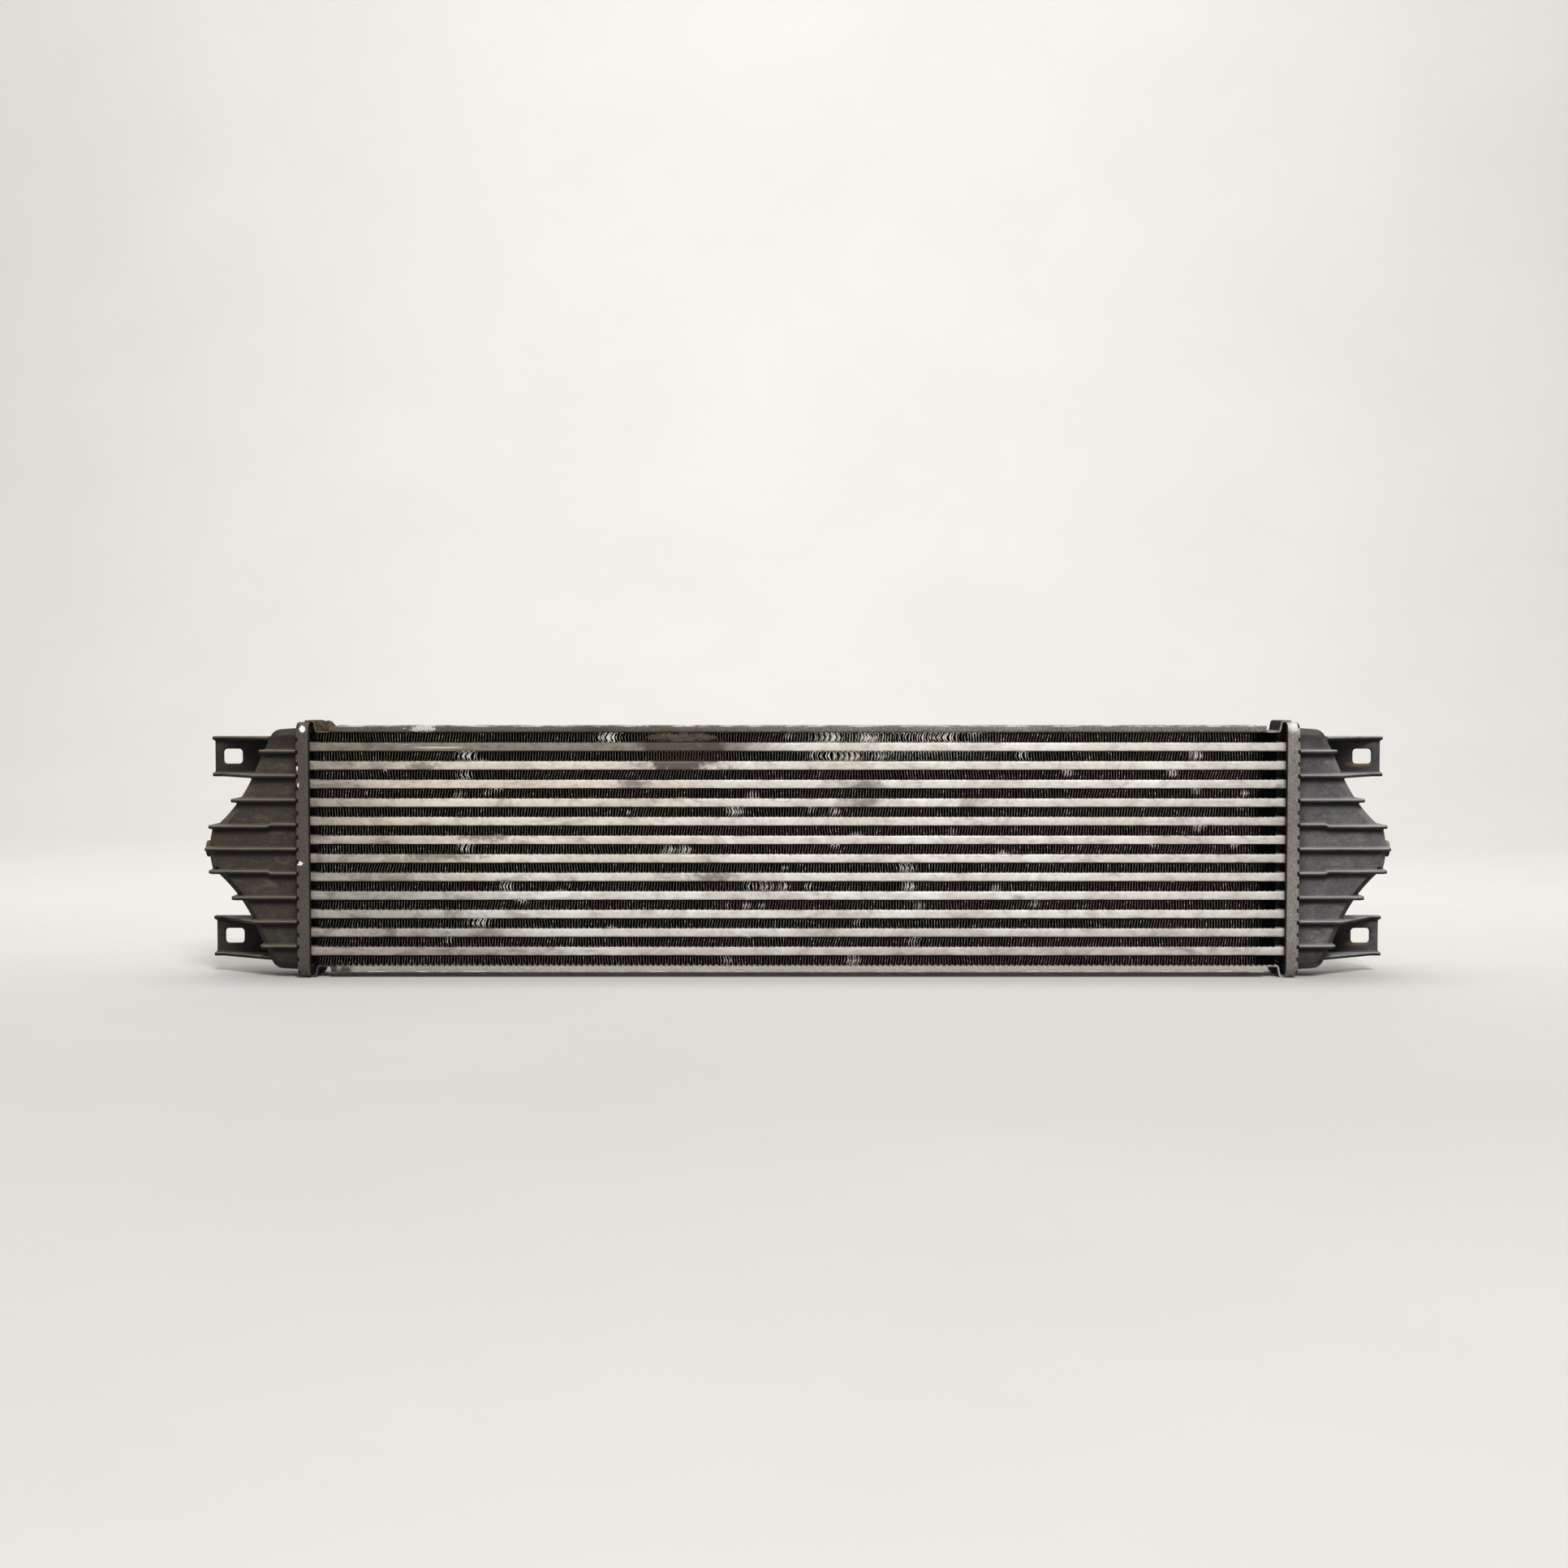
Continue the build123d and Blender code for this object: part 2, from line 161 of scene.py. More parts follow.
# ---- the stage and the camera ----
STAGE = 4.0  # the floor's half width, its reach to the front and the backdrop's height
SWEEP = 1.2  # the floor starts to rise this far behind the cooler, on this radius
ROOM_LIGHT, ROOM_SEEN = 0.34, 0.9  # the room's strength as a light, and as seen
LAMPS = (  # name, place, target, size and watts
    ("key", (0.5, -2.5, 2.5), MIDDLE, 0.9, 78),
    ("over", (-0.3, 0.1, 2.2), MIDDLE, 1.4, 6),
    ("backdrop", (0, 0.6, 1.9), (0, 2.4, 0.9), 2.2, 30),
)
LENS = 50.89
CAMERA_X, CAMERA_BACK, CAMERA_UP = -8.84 * MM, 1401 * MM, 99.3 * MM  # from the middle of the front plane
CAMERA_DOWN = 2.35  # degrees


def on_front(x, z):
    """A point on the core's front, from mm off its middle."""
    return (x * MM, CORE_LOW.y, MIDDLE.z + z * MM)


def on_header(side, marks):
    """Places and radii of marks on the front of one header. Side is -1 for the left one."""
    return [((side * (RIM_X - x * MM), HEADER_LOW.y, MIDDLE.z + z * MM), radii) for x, z, radii in marks]


def linear(colour):
    """An sRGB hex colour as linear red, green, blue and alpha."""
    parts = [int(colour[i : i + 2], 16) / 255 for i in (1, 3, 5)]
    return [p / 12.92 if p <= 0.04045 else ((p + 0.055) / 1.055) ** 2.4 for p in parts] + [1.0]


# ---- shading tools ----
def feed(value, socket):
    """Links a value to a socket, or sets a plain number or colour on it."""
    if isinstance(value, Value):
        value.tree.links.new(value.socket, socket)
    else:
        socket.default_value = value


def add_node(tree, kind, inputs=(), output=0, **settings):
    """Adds a node with its settings and links, and gives the value at one of its outputs. The inputs are
    in the order of the node's sockets, or go by name."""
    made = tree.nodes.new("ShaderNode" + kind)
    for name, value in settings.items():
        setattr(made, name, value)
    for name, value in inputs.items() if isinstance(inputs, dict) else enumerate(inputs):
        feed(value, made.inputs[name])
    return Value(tree, made.outputs[output])


class Value:
    """A number or a vector in a material's tree. Arithmetic with it gives a new value."""

    def __init__(self, tree, socket):
        self.tree = tree
        self.socket = socket

    def into(self, kind, *inputs, output=0, **settings):
        """What a new node makes of this value and of the inputs that follow it. For MapRange, those are two
        ends of the value and what it becomes at them, 0 and 1 if not given. Past its ends it is held."""
        return add_node(self.tree, kind, (self, *inputs), output, **settings)

    def __add__(self, other):
        return self.into("Math", other, operation="ADD")

    def __sub__(self, other):
        return self.into("Math", other, operation="SUBTRACT")

    def __mul__(self, other):
        return self.into("Math", other, operation="MULTIPLY")

    def __truediv__(self, other):
        return self.into("Math", other, operation="DIVIDE")

    def __abs__(self):
        return self.into("Math", operation="ABSOLUTE")


def largest(first, *others):
    """The largest of some values."""
    for other in others:
        first = first.into("Math", other, operation="MAXIMUM")
    return first


class Look:
    """A material that is painted layer over layer, starting from one colour."""

    def __init__(self, name, colour, metallic=0.0, roughness=0.5, gloss=0.5):
        self.material = bpy.data.materials.new(name)
        self.material.use_nodes = True
        self.tree = self.material.node_tree
        self.shader = self.tree.nodes["Principled BSDF"]
        feed(metallic, self.shader.inputs["Metallic"])
        feed(roughness, self.shader.inputs["Roughness"])
        feed(gloss, self.shader.inputs["Specular IOR Level"])
        self.place = add_node(self.tree, "TexCoord", output="Object")
        self.colour = linear(colour)

    def grain(self, size_mm, detail=4.0, roughness=0.6, stretch=(1, 1, 1), distortion=0.0):
        """Noise whose lumps are about size_mm across, drawn out along the axes by stretch."""
        scale = [1 / (size_mm * MM * s) for s in stretch]
        mapped = add_node(self.tree, "Mapping", {"Vector": self.place, "Scale": scale})
        inputs = {"Vector": mapped, "Scale": 1.0, "Detail": detail, "Roughness": roughness}
        inputs["Distortion"] = distortion
        return add_node(self.tree, "TexNoise", inputs, "Fac")

    def patch(self, centre, radii_mm, ragged=0.35, edge=0.25):
        """A ragged patch about a point: 1 inside, 0 outside."""
        scale = [1 / (r * MM) for r in radii_mm]
        moved = [-c * s for c, s in zip(centre, scale)]
        inputs = {"Vector": self.place, "Scale": scale, "Location": moved}
        far = add_node(self.tree, "Mapping", inputs).into("VectorMath", output="Value", operation="LENGTH")
        wobble = self.grain(min(radii_mm) * 0.8).into("MapRange", 0.3, 0.7, -ragged, ragged)
        return (far + wobble).into("MapRange", 1 + edge, 1 - edge)

    def paint(self, colour, share):
        """Lays a colour over what is there, where share says."""
        inputs = {"Factor": share, 6: self.colour, 7: linear(colour)}
        self.colour = add_node(self.tree, "Mix", inputs, 2, data_type="RGBA")

    def finish(self, roughness=None, relief=None, relief_mm=0.0):
        """Feeds the shader the colour, and roughness and relief where given, and hands the material over."""
        feed(self.colour, self.shader.inputs["Base Color"])
        if roughness is not None:
            feed(roughness, self.shader.inputs["Roughness"])
        if relief is not None:
            inputs = {"Height": relief, "Distance": relief_mm * MM, "Strength": 1.0}
            feed(add_node(self.tree, "Bump", inputs), self.shader.inputs["Normal"])
        return self.material


# ---- materials ----
def weathered_mill_aluminium():
    """Brazed aluminium tube stock, mill finish: a dull, pale, faintly warm metal under a film of oxide,
    speckled with road dirt, darker where the fins meet it from dirt and painted shade, and scratched along
    its length."""
    look = Look("weathered_mill_aluminium", "#F1EEEB", metallic=0.15)
    x, z = (look.place.into("SeparateXYZ", output=axis) for axis in "XZ")
    cloud = look.grain(30, detail=6, stretch=(2.0, 1, 1), distortion=0.6)
    mottle = look.grain(4.2, detail=5, roughness=0.7, stretch=(1.6, 1, 1))
    speckle = look.grain(1.3, detail=3)
    film = look.grain(11, detail=8, roughness=0.75, stretch=(1.8, 1, 1), distortion=0.9)
    stain = look.grain(40, detail=7, roughness=0.72, stretch=(1.8, 1, 1), distortion=1.4)
    # the stock's drawing lines are about 0.1 mm wide, too fine to show here, so they are drawn at 0.6 mm
    streak = look.grain(0.6, detail=2, stretch=(34, 1, 1))
    look.paint("#DAD3CB", cloud.into("MapRange", 0.36, 0.62))

    # a warmer cast, mostly high up on the left
    warm = look.grain(90, detail=3, stretch=(1.5, 1, 1)).into("MapRange", 0.4, 0.6, -0.2, 0.4)
    warm = warm + z.into("MapRange", MIDDLE.z - 40 * MM, MIDDLE.z + 50 * MM)
    look.paint("#DDD0B8", warm * x.into("MapRange", 0, -200 * MM, 0.1, 0.55))

    # oxide and specks
    look.paint("#B3AAA0", film.into("MapRange", 0.46, 0.66, 0, 0.68))
    look.paint("#A3988B", mottle.into("MapRange", 0.5, 0.7, 0, 0.5))
    look.paint("#8C8074", speckle.into("MapRange", 0.6, 0.74, 0, 0.35))

    # dirt and painted shade along a tube's top and bottom brink, deepest beside each crest of the fins
    brink = abs(((z - MIDDLE.z) / TUBE_PITCH).into("Math", operation="FRACT") - 0.5)
    brink = brink + (x * (4 * pi / FIN_PITCH)).into("Math", operation="SINE") * 0.012
    brink = brink + film.into("MapRange", 0.52, 0.7, 0, 0.07)
    tube_share = TUBE_HALF / TUBE_PITCH
    brink = brink.into("MapRange", tube_share * 0.8, tube_share * 1.02)
    brink = brink * mottle.into("MapRange", 0.34, 0.6, 0.2, 1.0)
    look.paint("#5F564C", brink * 0.8)

    look.paint("#857A6D", stain.into("MapRange", 0.57, 0.7, 0, 0.65))
    look.paint("#F1EEE9", streak.into("MapRange", 0.66, 0.72, 0, 0.6))

    # dust: at both ends, in the lower left corner, on the left of the top tube and on the low tubes
    ragged = stain.into("MapRange", 0.3, 0.7, -0.35, 0.35)
    corner = (x + (z - MIDDLE.z) * 1.5).into("MapRange", -180 * MM, -320 * MM) + ragged
    left = largest(x.into("MapRange", -225 * MM, -300 * MM) + ragged, corner).into("MapRange", 0.1, 0.9)
    right = (x.into("MapRange", 200 * MM, 330 * MM) + ragged).into("MapRange", 0.1, 0.9)
    top = (x.into("MapRange", 15 * MM, -55 * MM) + ragged).into("MapRange", 0.2, 0.8)
    top = top * z.into("MapRange", MIDDLE.z + 59 * MM, MIDDLE.z + 61 * MM)
    low = z.into("MapRange", MIDDLE.z - 34 * MM, MIDDLE.z - 66 * MM)
    low = low * ragged.into("MapRange", -0.1, 0.2, 0.35, 1.0)
    dust = largest(left * 0.7, top, low * 0.62, right * 0.28) * mottle.into("MapRange", 0.3, 0.65, 1.05, 0.75)
    look.paint("#786F63", left * film.into("MapRange", 0.48, 0.62, 0, 0.6))
    look.paint("#5D554D", dust * 0.9)

    for spot_x, spot_z, radius_x, radius_z in STAINS:
        spill = look.patch(on_front(spot_x, spot_z), (radius_x, THROUGH, radius_z), ragged=0.6, edge=0.5)
        look.paint("#5B5249", spill * 0.75)
    scrape = look.patch(on_front(-228, 64.7), (16, 8, 0.5), ragged=0.5) * 0.8
    look.paint("#E9E5DE", largest(streak.into("MapRange", 0.69, 0.73), scrape) * 0.75)
    look.paint("#4D4339", look.patch(on_front(*MUD_AT), (27, THROUGH, 15), ragged=0.5) * 0.95)
    rough = cloud.into("MapRange", 0.3, 0.7, 0.42, 0.6) + dust * 0.25
    return look.finish(rough, relief=mottle, relief_mm=0.12)


def sooted_and_shaded_fin_stock():
    """Corrugated aluminium fin stock, brazed: near black in its depth, from road dirt and flux and as painted
    shade, while its front and rear edges and its bent waves are rubbed pale. Its crests are darkened as
    painted shade, and white flecks on its rubbed edges are painted glints."""
    # the near-black base colour is road dirt and painted shade deep in the core
    look = Look("sooted_and_shaded_fin_stock", "#040303", roughness=0.85, gloss=0.08)
    x, y, z = (look.place.into("SeparateXYZ", output=axis) for axis in "XYZ")
    depth = abs(y - MIDDLE.y)
    speckle = look.grain(1.6, detail=4)
    cloud = look.grain(24, detail=5, distortion=0.8)

    # dust and rubbed edges stop short of the strips' ends, which stay black as painted shade of the gaps by
    # the headers
    clear = (x + (cloud - 0.5) * (30 * MM)).into("MapRange", FACE_X - 24 * MM, FACE_X - 16 * MM, 1, 0)
    clear = clear * x.into("MapRange", -FACE_X + 4 * MM, -FACE_X + 8 * MM)
    film = depth.into("MapRange", CORE_HALF_DEPTH - 2.0 * MM, CORE_HALF_DEPTH - 0.2 * MM)
    look.paint("#1E1916", film * speckle.into("MapRange", 0.36, 0.6, 0.5, 1.0) * clear)

    # the legs' edges are rubbed; the crests are darkened as painted shade from the tubes
    rub = depth.into("MapRange", CORE_HALF_DEPTH - 0.35 * MM, CORE_HALF_DEPTH - 0.1 * MM) * clear
    rub = rub * speckle.into("MapRange", 0.34, 0.62, 0.3, 1.0) * cloud.into("MapRange", 0.34, 0.6, 0.55, 1.0)
    rows = (z - MIDDLE.z) / TUBE_PITCH
    off = abs(rows - rows.into("Math", operation="ROUND")) * TUBE_PITCH
    crest = (TUBE_PITCH - 2 * TUBE_HALF) / 2
    rub = rub * off.into("MapRange", crest * 0.7, crest * 0.88, 1.0, 0.12)
    look.paint("#7F766C", rub)
    # white flecks on the rubbed edges are painted glints
    look.paint("#E4E0D8", rub * look.grain(2.6, detail=2).into("MapRange", 0.61, 0.67))

    struck = look.patch(on_front(62, 68), (62, 2, 14), ragged=0.6) * speckle.into("MapRange", 0.42, 0.58)
    look.paint("#DCD7CF", struck * 0.9)
    bent = add_node(look.tree, "Attribute", output="Fac", attribute_name="bent")
    look.paint("#D8D3CB", bent.into("MapRange", 0.3, 0.9))
    look.paint("#5A4E43", look.patch(on_front(*MUD_AT), (26, THROUGH, 14), ragged=0.5) * 0.9)
    return look.finish(relief=speckle, relief_mm=0.03)


def stained_sheet_aluminium():
    """Rolled aluminium sheet of the side plates: grey-olive with dirt in the channel, its folded edges
    rubbed and scratched bright, and a painted highlight along the flanges' lips."""
    look = Look("stained_sheet_aluminium", "#78736A", gloss=0.3)
    x, y, z = (look.place.into("SeparateXYZ", output=axis) for axis in "XYZ")
    along = abs(x)
    depth = abs(y - MIDDLE.y)
    lower = z.into("MapRange", MIDDLE.z + 1 * MM, MIDDLE.z)  # 1 on the lower plate
    upper = z.into("MapRange", MIDDLE.z, MIDDLE.z + 1 * MM)
    cloud = look.grain(26, detail=6, roughness=0.65, stretch=(2.5, 1, 1), distortion=0.8)
    speckle = look.grain(1.4, detail=4, roughness=0.7)
    # scratches are about 0.3 mm wide, too fine to show here, so they are drawn at 1.8 mm
    scratch = look.grain(1.8, detail=5, roughness=0.7, stretch=(9, 1, 1))
    look.paint("#9B968D", cloud.into("MapRange", 0.36, 0.64))
    look.paint("#BBB4AA", lower * x.into("MapRange", -260 * MM, -150 * MM, 0.3, 0.9))
    stained = speckle.into("MapRange", 0.42, 0.6, 0, 0.7)
    look.paint("#4A443C", stained * lower.into("MapRange", 0, 1, 1.0, 0.5))
    left = x.into("MapRange", 30 * MM, -80 * MM) * cloud.into("MapRange", 0.25, 0.5, 1.0, 0.6)
    look.paint("#423E36", left * upper)

    # bright metal and painted highlight: the flanges' lips, scratched and with a painted highlight on them,
    # scratches, and the cut edges of the joggles
    lip_scratch_and_highlight = abs(z - MIDDLE.z).into("MapRange", PLATE_EDGE_Z - 0.8 * MM, PLATE_EDGE_Z - 0.4 * MM)
    lip_scratch_and_highlight = lip_scratch_and_highlight * scratch.into("MapRange", 0.48, 0.58, 0.05, 1.0)
    lip_scratch_and_highlight = lip_scratch_and_highlight * along.into("MapRange", FACE_X - 12 * MM, FACE_X - 14 * MM)
    gouge = scratch.into("MapRange", 0.66, 0.69) * 0.8
    cut = depth.into("MapRange", CORE_HALF_DEPTH - 0.5 * MM, CORE_HALF_DEPTH - 0.2 * MM)
    cut = cut * along.into("MapRange", FACE_X - 13 * MM, FACE_X - 10 * MM)
    cut = cut * x.into("MapRange", 0, 100 * MM, 0.3, 1.0)
    cut = cut * z.into("MapRange", MIDDLE.z, MIDDLE.z + 1 * MM, 0.95, 0.4)
    wear_and_highlight = largest(lip_scratch_and_highlight, gouge, cut)
    look.paint("#E4E1DB", wear_and_highlight)
    scuff = look.patch((-238 * MM, CORE_LOW.y, MIDDLE.z + PLATE_EDGE_Z - 1.6 * MM), (7, 8, 2.2), ragged=0.7)
    look.paint("#E4E1DB", scuff * 0.8)

    # dirt in the left joggles, and the joggles' upright faces out of the light
    grime = look.patch((-FACE_X + 6 * MM, MIDDLE.y - 10 * MM, MIDDLE.z - 78 * MM), (17, 30, 10), ragged=0.5)
    look.paint("#2F2922", grime * 0.92)
    moss = look.patch((-FACE_X + 5 * MM, MIDDLE.y - 12 * MM, MIDDLE.z + 79 * MM), (11, 30, 8), ragged=0.5)
    look.paint("#5E5138", moss * 0.92)
    normal = add_node(look.tree, "NewGeometry", output="Normal")
    upright = abs(normal.into("SeparateXYZ", output="X")).into("MapRange", 0.3, 0.7)
    upright = upright * depth.into("MapRange", CORE_HALF_DEPTH - 0.2 * MM, CORE_HALF_DEPTH - 0.7 * MM)
    upright = upright * along.into("MapRange", FACE_X - 12 * MM, FACE_X - 10 * MM)
    look.paint("#14110F", upright)
    rough = largest(cloud.into("MapRange", 0.3, 0.7, 0.5, 0.7) - wear_and_highlight * 0.2, upright)
    return look.finish(rough, relief=speckle, relief_mm=0.06)


def oxidised_pressed_aluminium(name, body, light, dark, bright, chips_and_highlight, edge):
    """Deep-drawn aluminium tube plate: grey and grainy with oxide, painted shade with some soot in its folds,
    and the odd bright chip where something struck it, or a painted highlight where one is given. Edge says
    how softly these fade out."""
    look = Look(name, body, gloss=0.25)
    x, y = (look.place.into("SeparateXYZ", output=axis) for axis in "XY")
    out = abs(x)
    normal = add_node(look.tree, "NewGeometry", output="Normal")
    normal_x, normal_y = (normal.into("SeparateXYZ", output=axis) for axis in "XY")
    cloud = look.grain(12, detail=6, roughness=0.65, stretch=(1, 1, 2.4))
    # the oxide's grains are about 0.3 mm across, too fine to show here, so they are drawn at about 1 mm
    speckle = look.grain(1.1, detail=5, roughness=0.75)
    glint = look.grain(0.9, detail=4, roughness=0.8)
    look.paint(light, cloud.into("MapRange", 0.36, 0.64))
    look.paint(dark, speckle.into("MapRange", 0.44, 0.62, 0, 0.8))
    look.paint(bright, glint.into("MapRange", 0.57, 0.66, 0, 0.7))
    # white chips on the left header, a painted highlight on the right one's top corner
    for centre, radii in chips_and_highlight:
        look.paint("#F4F1EC", look.patch(centre, radii, ragged=0.3, edge=edge))

    # painted shade: black between the lip's teeth, and soot and painted shade on the face towards the core
    notch = normal_y.into("MapRange", -0.3, -0.6) * out.into("MapRange", RIM_X - 1.5 * MM, RIM_X - 1.1 * MM)
    notch = notch * y.into("MapRange", HEADER_LOW.y + 0.9 * MM, HEADER_LOW.y + 1.3 * MM)
    soot_and_shade = (normal_x * x.into("Math", operation="SIGN")).into("MapRange", -0.4, -0.8)
    soot_and_shade = soot_and_shade * out.into("MapRange", RIM_X - 2 * MM, FACE_X + 4 * MM)
    soot_and_shade = soot_and_shade * y.into("MapRange", HEADER_LOW.y + 1.0 * MM, HEADER_LOW.y + 3 * MM, 0.4, 1.0)
    look.paint("#0D0B0A", largest(soot_and_shade, notch))
    rough = largest(speckle.into("MapRange", 0.35, 0.7, 0.42, 0.7), soot_and_shade)
    return look.finish(rough, relief=speckle, relief_mm=0.12)


def moulded_nylon(name, body, dusty, wear_and_highlight, rust=()):
    """Glass-filled nylon, injection moulded: a dull dark grey with a fine fibre grain, dust lying on its
    open faces, with a painted highlight on faces that look up, dirt under the crimp, painted shade in its
    corners, far recesses and under its ribs, and the ribs' edges rubbed paler, with a painted highlight on
    their upper edges."""
    look = Look(name, body, gloss=0.22)
    x, y, z = (look.place.into("SeparateXYZ", output=axis) for axis in "XYZ")
    out = abs(x)
    normal = add_node(look.tree, "NewGeometry", output="Normal")
    normal_y, normal_z = (normal.into("SeparateXYZ", output=axis) for axis in "YZ")
    # glass fibre shows as flecks of about 0.3 mm, too fine to show here, so they are drawn at 0.9 mm
    fibre = look.grain(0.9, detail=3)
    cloud = look.grain(18, detail=7, roughness=0.7, distortion=0.7)
    wipe = look.grain(8, detail=5, roughness=0.65, stretch=(2.4, 1, 1), distortion=0.8)
    look.paint(dusty, cloud.into("MapRange", 0.36, 0.64))
    look.paint(wear_and_highlight, fibre.into("MapRange", 0.5, 0.75, 0, 0.3))
    look.paint(wear_and_highlight, wipe.into("MapRange", 0.56, 0.7, 0, 0.4))
    # paler on faces that look up: dust, and a painted highlight where light falls from above
    look.paint(wear_and_highlight, normal_z.into("MapRange", 0.2, 0.95) * cloud.into("MapRange", 0.3, 0.6, 0.4, 0.8))

    # dirt by the crimp; painted shade on what lies far back, on faces that look down, below ribs and lugs and
    # in corners; and darker towards the tank's top and bottom ends
    foot = out.into("MapRange", RIM_X + 0.9 * MM, RIM_X + 0.2 * MM)
    near = out.into("MapRange", RIM_X + 7 * MM, RIM_X + 3 * MM, 0, 0.3)
    rear = y.into("MapRange", HEADER_LOW.y + 9 * MM, HEADER_LOW.y + 24 * MM)
    rear = rear * normal_y.into("MapRange", 0.1, -0.3)
    rear = rear * out.into("MapRange", RIM_X + 58 * MM, RIM_X + 32 * MM, 0.5, 0.97)
    rear = rear * out.into("MapRange", RIM_X + 12 * MM, RIM_X + 20 * MM)
    # painted shade on faces that look down
    under = normal_z.into("MapRange", -0.35, -0.8, 0, 0.7)
    # painted shade from above: occlusion seen round a normal tilted upwards
    tilted = normal.into("VectorMath", (0, 0, 1.4), operation="ADD").into("VectorMath", operation="NORMALIZE")
    inputs = {"Distance": OVERHEAD_SHADE_REACH, "Normal": tilted}
    overhead_shade = add_node(look.tree, "AmbientOcclusion", inputs, "AO", samples=8)
    ends = abs(z - MIDDLE.z).into("MapRange", 58 * MM, 70 * MM, 0, 0.72)
    ends = ends * out.into("MapRange", RIM_X + 40 * MM, RIM_X + 20 * MM)
    dirt_and_shade = largest(foot, near, rear, under, overhead_shade.into("MapRange", 0.66, 0.26, 0, 0.9), ends)
    look.paint("#100E0D", dirt_and_shade)

    # the front rim is rubbed, the ribs' upper edges get a painted highlight, and the painted shade below a
    # rib is black
    rib_highlight, rib_shade = (
        add_node(look.tree, "Attribute", output="Fac", attribute_name=mark) for mark in ("rib_highlight", "rib_shade")
    )
    front = y.into("MapRange", HEADER_LOW.y + 2.6 * MM, HEADER_LOW.y + 1.6 * MM)
    edge = largest(front * 0.55, rib_highlight) * wipe.into("MapRange", 0.35, 0.6, 0.6, 1.0)
    look.paint(wear_and_highlight, edge * out.into("MapRange", RIM_X + 0.4 * MM, RIM_X + 1.4 * MM))
    look.paint("#0B0A09", rib_shade * wipe.into("MapRange", 0.3, 0.7, 1.0, 0.9))
    for centre, radii in rust:
        look.paint("#94703F", look.patch(centre, radii, ragged=0.4, edge=0.6) * 0.5)
    return look.finish(cloud.into("MapRange", 0.3, 0.7, 0.55, 0.8), relief=fibre, relief_mm=0.06)


def moulded_rubber():
    """Moulded EPDM rubber of the gaskets: dull black."""
    look = Look("moulded_rubber", "#1C1B1A", roughness=0.8, gloss=0.2)
    look.paint("#2B2A28", look.grain(4).into("MapRange", 0.4, 0.7))
    return look.finish()


def dried_mud():
    """Road mud, splashed on and dried: dull earth brown, crumbly, with pale grit in it."""
    look = Look("dried_mud", "#443C33", roughness=0.95, gloss=0.1)
    grit = look.grain(0.8, detail=4, roughness=0.7)
    look.paint("#5C5246", look.grain(5, detail=6, roughness=0.7).into("MapRange", 0.36, 0.64))
    look.paint("#8A7D68", grit.into("MapRange", 0.55, 0.68, 0, 0.8))
    look.paint("#2A241E", grit.into("MapRange", 0.42, 0.32, 0, 0.8))
    return look.finish(relief=grit, relief_mm=0.3)


def clean_fin_stock():
    """Thin brazed aluminium strip inside the tubes, out of the dirt's reach: satin grey."""
    look = Look("clean_fin_stock", "#A9A7A2", metallic=0.8)
    flux = look.grain(5)
    look.paint("#C9C6C0", flux.into("MapRange", 0.45, 0.7))
    return look.finish(flux.into("MapRange", 0.3, 0.7, 0.35, 0.55))


def painted_floor():
    """Matt off-white paint."""
    look = Look("painted_floor", "#DCDAD6", roughness=0.8)
    look.paint("#E0DEDA", look.grain(300).into("MapRange", 0.3, 0.7))
    return look.finish()


# ---- making pieces ----
def new_mesh(name, vertices, faces, smooth=True):
    """A mesh from its points and faces."""
    mesh = bpy.data.meshes.new(name)
    mesh.from_pydata(vertices, [], faces, shade_flat=not smooth)
    return mesh


def mark_points(mesh, name, values):
    """Puts a mark on a mesh's points for its material to read."""
    mesh.attributes.new(name, "FLOAT", "POINT").data.foreach_set("value", values.astype(np.float32))


def add_object(name, data):
    """An object in the scene that shows a mesh, a lamp or a camera."""
    made = bpy.data.objects.new(name, data)
    bpy.context.scene.collection.objects.link(made)
    return made


def dress(mesh, material):
    """Gives a mesh one material."""
    mesh.materials.clear()
    mesh.materials.append(material)


def add_piece(name, mesh, material, replaced=None):
    """A piece that rides on the cooler's body, and stands for a node where one is named."""
    dress(mesh, material)
    piece = add_object(name, mesh)
    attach(piece, "root")
    if replaced:
        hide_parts(replaced)
    return piece


def add_modifier(piece, kind, settings):
    """Adds a modifier with its settings."""
    modifier = piece.modifiers.new(kind.lower(), kind)
    for name, value in settings.items():
        setattr(modifier, name, value)


def bevel_settings(width, angle):
    """Settings of a bevel on edges that turn by more than an angle in degrees."""
    return {"width": width, "segments": 2, "limit_method": "ANGLE", "angle_limit": radians(angle)}


def rework(mesh, *modifiers):
    """A new mesh as some modifiers leave this one."""
    bare = add_object("moulding", mesh)
    for kind, settings in modifiers:
        add_modifier(bare, kind, settings)
    bpy.context.view_layer.update()
    made = bpy.data.meshes.new_from_object(bare.evaluated_get(bpy.context.evaluated_depsgraph_get()))
    bpy.data.objects.remove(bare)
    return made


def join_rings(rings, size, closed=True):
    """Faces between rings of the same size, numbered one ring after another."""
    faces = []
    for ring in range(rings - 1):
        for i in range(size if closed else size - 1):
            j = (i + 1) % size
            a, b = ring * size, (ring + 1) * size
            faces.append((a + i, a + j, b + j, b + i))
    return faces


def nose_section(half_depth, half_height, nose, segments=12):
    """Points (y, z) round a flat section whose noses are full and blunt, as rolled tube's are."""
    points = []
    for side in (1, -1):
        for i in range(segments + 1):
            turn = pi / 2 - pi * i / segments
            out = nose * abs(cos(turn)) ** NOSE_OUT
            up = half_height * abs(sin(turn)) ** NOSE_UP * (1 if turn > 0 else -1)
            points.append((side * (half_depth - nose + out), side * up))
    return points


